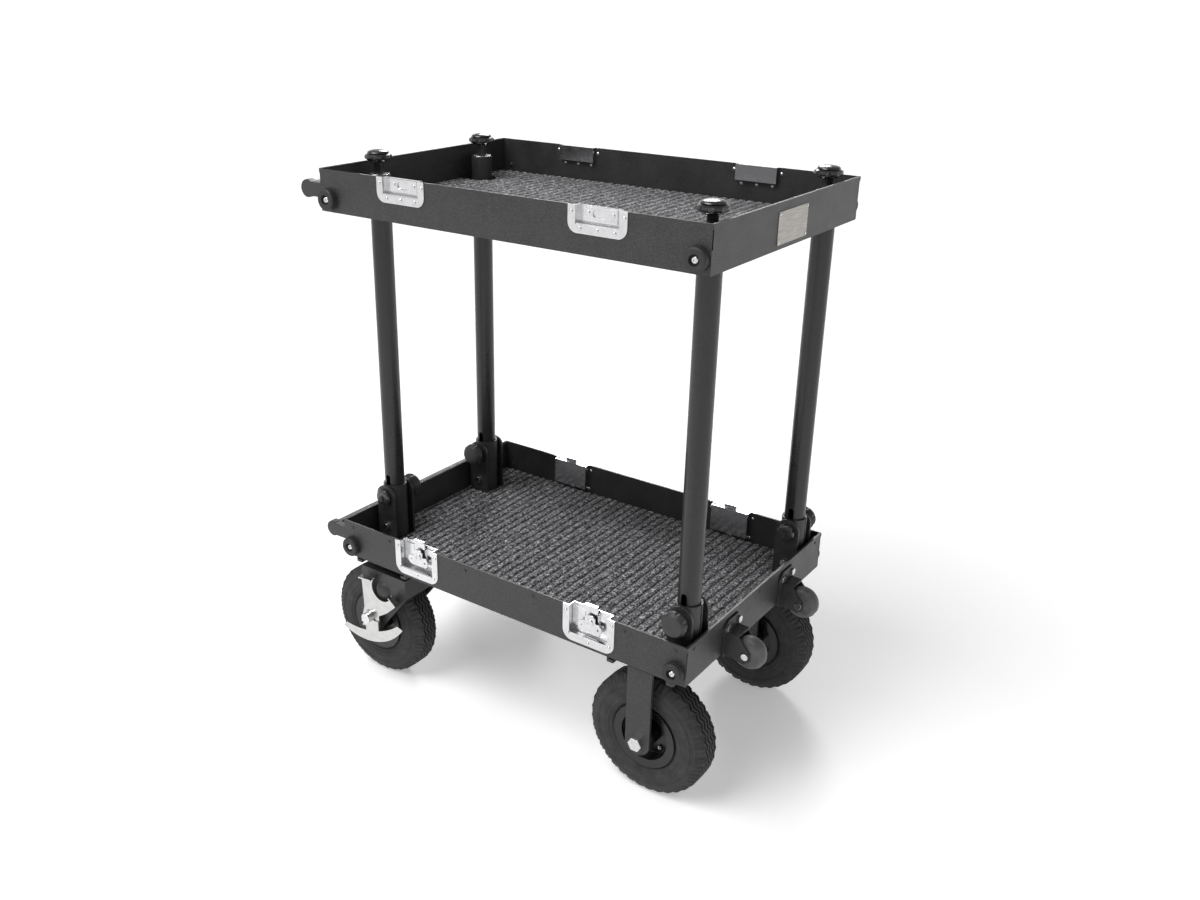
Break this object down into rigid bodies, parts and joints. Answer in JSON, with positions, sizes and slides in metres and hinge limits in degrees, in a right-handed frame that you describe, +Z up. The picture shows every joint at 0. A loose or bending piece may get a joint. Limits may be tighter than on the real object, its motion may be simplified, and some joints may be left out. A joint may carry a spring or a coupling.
{
  "type": "equipment cart",
  "caption": "Knock-down luggage cart: carpeted sheet-metal decks on clamped tubular posts, with grab bars, recessed latches, and pneumatic swivel and fixed casters.",
  "frame": {"origin": "on the floor under the middle of the cart", "axes": "+X along the length towards the fixed casters and tilt rollers, +Y across the width, +Z up"},
  "size_m": [0.943, 0.5672, 1.072],
  "materials": {
    "black_coat": "fine textured black powder coat",
    "black_rivet": "black anodised",
    "zinc": "bright zinc plate",
    "polished": "polished plate",
    "bumper_rubber": "matte moulded rubber",
    "tyre_rubber": "matte tyre rubber",
    "rim_coat": "gloss black rim",
    "carpet": "charcoal ribbed needle felt",
    "knob_plastic": "moulded black nylon",
    "roller_grey": "grey thermoplastic tread",
    "plate_label": "brushed plate, blank"
  },
  "bodies": {
    "lower_deck": {"lower_tray": "black_coat", "lower_wall_rivets": "black_rivet", "lower_carpet": "carpet", "lower_bumpers": "bumper_rubber", "lower_bolts": "zinc", "lower_handle": "black_coat", "latch_dishes": "zinc", "latch_bases": "zinc", "latch_rivets": "zinc", "post_collars": "black_coat", "post_brackets": "black_coat", "star_nuts": "knob_plastic", "caster_rails": "black_coat", "rigid_forks": "black_coat", "swivel_plates": "black_coat", "tilt_brackets": "black_coat"},
    "post_set": {"posts": "black_coat"},
    "upper_deck": {"upper_tray": "black_coat", "upper_carpet": "carpet", "upper_bumpers": "bumper_rubber", "upper_bumper_screws": "zinc", "upper_handle": "black_coat", "catch_dishes": "zinc", "catch_plates": "zinc", "upper_rivets": "zinc", "post_cups": "black_coat", "cup_washers": "polished", "nameplate": "plate_label"},
    "latch_grip_front_left": {"latch_handle_front_left": "zinc"},
    "latch_tongue_front_left": {"latch_hook_front_left": "zinc"},
    "clamp_front_left": {"clamp_knob_front_left": "knob_plastic"},
    "hand_knob_front_left": {"top_knob_front_left": "knob_plastic"},
    "wheel_front_left": {"rim_front_left": "rim_coat", "tyre_front_left": "tyre_rubber"},
    "latch_grip_front_right": {"latch_handle_front_right": "zinc"},
    "latch_tongue_front_right": {"latch_hook_front_right": "zinc"},
    "clamp_front_right": {"clamp_knob_front_right": "knob_plastic"},
    "hand_knob_front_right": {"top_knob_front_right": "knob_plastic"},
    "wheel_front_right": {"rim_front_right": "rim_coat", "tyre_front_right": "tyre_rubber"},
    "latch_grip_rear_left": {"latch_handle_rear_left": "zinc"},
    "latch_tongue_rear_left": {"latch_hook_rear_left": "zinc"},
    "clamp_rear_left": {"clamp_knob_rear_left": "knob_plastic"},
    "hand_knob_rear_left": {"top_knob_rear_left": "knob_plastic"},
    "wheel_rear_left": {"rim_rear_left": "rim_coat", "tyre_rear_left": "tyre_rubber"},
    "latch_grip_rear_right": {"latch_handle_rear_right": "zinc"},
    "latch_tongue_rear_right": {"latch_hook_rear_right": "zinc"},
    "clamp_rear_right": {"clamp_knob_rear_right": "knob_plastic"},
    "hand_knob_rear_right": {"top_knob_rear_right": "knob_plastic"},
    "wheel_rear_right": {"rim_rear_right": "rim_coat", "tyre_rear_right": "tyre_rubber"},
    "caster_front": {"swivel_fork_front": "black_coat", "swivel_bolts_front": "zinc"},
    "brake_front": {"brake_lever_front": "polished"},
    "roller_front": {"tilt_wheel_front": "roller_grey"},
    "caster_rear": {"swivel_fork_rear": "black_coat", "swivel_bolts_rear": "zinc"},
    "brake_rear": {"brake_lever_rear": "polished"},
    "roller_rear": {"tilt_wheel_rear": "roller_grey"}
  },
  "joints": [
    {"name": "post_lift", "type": "slide", "parent": "lower_deck", "child": "post_set", "axis": [0, 0, 1], "range_m": [0, 0.12]},
    {"name": "deck_lift", "type": "slide", "parent": "post_set", "child": "upper_deck", "axis": [0, 0, 1], "range_m": [0, 0.06]},
    {"name": "clamp_turn_front_left", "type": "hinge", "parent": "lower_deck", "child": "clamp_front_left", "pos_m": [-0.366, -0.149, 0.382], "axis": [0, 1, 0], "continuous": true},
    {"name": "knob_turn_front_left", "type": "hinge", "parent": "upper_deck", "child": "hand_knob_front_left", "pos_m": [-0.366, -0.149, 1.058], "axis": [0, 0, 1], "continuous": true},
    {"name": "clamp_turn_rear_left", "type": "hinge", "parent": "lower_deck", "child": "clamp_rear_left", "pos_m": [-0.366, 0.149, 0.382], "axis": [0, 1, 0], "continuous": true},
    {"name": "knob_turn_rear_left", "type": "hinge", "parent": "upper_deck", "child": "hand_knob_rear_left", "pos_m": [-0.366, 0.149, 1.058], "axis": [0, 0, 1], "continuous": true},
    {"name": "clamp_turn_front_right", "type": "hinge", "parent": "lower_deck", "child": "clamp_front_right", "pos_m": [0.366, -0.205, 0.382], "axis": [0, 1, 0], "continuous": true},
    {"name": "knob_turn_front_right", "type": "hinge", "parent": "upper_deck", "child": "hand_knob_front_right", "pos_m": [0.366, -0.205, 1.058], "axis": [0, 0, 1], "continuous": true},
    {"name": "clamp_turn_rear_right", "type": "hinge", "parent": "lower_deck", "child": "clamp_rear_right", "pos_m": [0.366, 0.205, 0.382], "axis": [0, 1, 0], "continuous": true},
    {"name": "knob_turn_rear_right", "type": "hinge", "parent": "upper_deck", "child": "hand_knob_rear_right", "pos_m": [0.366, 0.205, 1.058], "axis": [0, 0, 1], "continuous": true},
    {"name": "latch_turn_front_left", "type": "hinge", "parent": "lower_deck", "child": "latch_grip_front_left", "pos_m": [-0.203, -0.26, 0.329], "axis": [0, 1, 0], "range_deg": [0, 180]},
    {"name": "hook_slide_front_left", "type": "slide", "parent": "lower_deck", "child": "latch_tongue_front_left", "axis": [0, 0, 1], "range_m": [0, 0.008]},
    {"name": "latch_turn_front_right", "type": "hinge", "parent": "lower_deck", "child": "latch_grip_front_right", "pos_m": [0.203, -0.26, 0.329], "axis": [0, 1, 0], "range_deg": [0, 180]},
    {"name": "hook_slide_front_right", "type": "slide", "parent": "lower_deck", "child": "latch_tongue_front_right", "axis": [0, 0, 1], "range_m": [0, 0.008]},
    {"name": "latch_turn_rear_left", "type": "hinge", "parent": "lower_deck", "child": "latch_grip_rear_left", "pos_m": [-0.203, 0.26, 0.329], "axis": [0, 1, 0], "range_deg": [0, 180]},
    {"name": "hook_slide_rear_left", "type": "slide", "parent": "lower_deck", "child": "latch_tongue_rear_left", "axis": [0, 0, 1], "range_m": [0, 0.008]},
    {"name": "latch_turn_rear_right", "type": "hinge", "parent": "lower_deck", "child": "latch_grip_rear_right", "pos_m": [0.203, 0.26, 0.329], "axis": [0, 1, 0], "range_deg": [0, 180]},
    {"name": "hook_slide_rear_right", "type": "slide", "parent": "lower_deck", "child": "latch_tongue_rear_right", "axis": [0, 0, 1], "range_m": [0, 0.008]},
    {"name": "swivel_front", "type": "hinge", "parent": "lower_deck", "child": "caster_front", "pos_m": [-0.307, -0.205, 0.255], "axis": [0, 0, 1], "continuous": true},
    {"name": "brake_pedal_front", "type": "hinge", "parent": "caster_front", "child": "brake_front", "pos_m": [-0.338, -0.27, 0.152], "axis": [0, 1, 0], "range_deg": [0, 12]},
    {"name": "roller_spin_front", "type": "hinge", "parent": "lower_deck", "child": "roller_front", "pos_m": [0.44, -0.108, 0.283], "axis": [0, 1, 0], "continuous": true},
    {"name": "swivel_rear", "type": "hinge", "parent": "lower_deck", "child": "caster_rear", "pos_m": [-0.307, 0.205, 0.255], "axis": [0, 0, 1], "continuous": true},
    {"name": "brake_pedal_rear", "type": "hinge", "parent": "caster_rear", "child": "brake_rear", "pos_m": [-0.338, 0.27, 0.152], "axis": [0, 1, 0], "range_deg": [0, 12]},
    {"name": "roller_spin_rear", "type": "hinge", "parent": "lower_deck", "child": "roller_rear", "pos_m": [0.44, 0.108, 0.283], "axis": [0, 1, 0], "continuous": true},
    {"name": "wheel_spin_front_left", "type": "hinge", "parent": "caster_front", "child": "wheel_front_left", "pos_m": [-0.352, -0.205, 0.12], "axis": [0, 1, 0], "continuous": true},
    {"name": "wheel_spin_rear_left", "type": "hinge", "parent": "caster_rear", "child": "wheel_rear_left", "pos_m": [-0.352, 0.205, 0.12], "axis": [0, 1, 0], "continuous": true},
    {"name": "wheel_spin_front_right", "type": "hinge", "parent": "lower_deck", "child": "wheel_front_right", "pos_m": [0.307, -0.205, 0.12], "axis": [0, 1, 0], "continuous": true},
    {"name": "wheel_spin_rear_right", "type": "hinge", "parent": "lower_deck", "child": "wheel_rear_right", "pos_m": [0.307, 0.205, 0.12], "axis": [0, 1, 0], "continuous": true}
  ],
  "couplings": [
    {"joint": "hook_slide_front_left", "follows": "latch_turn_front_left", "m_per_rad": 0.0025464},
    {"joint": "hook_slide_front_right", "follows": "latch_turn_front_right", "m_per_rad": 0.0025464},
    {"joint": "hook_slide_rear_left", "follows": "latch_turn_rear_left", "m_per_rad": 0.0025464},
    {"joint": "hook_slide_rear_right", "follows": "latch_turn_rear_right", "m_per_rad": 0.0025464}
  ]
}
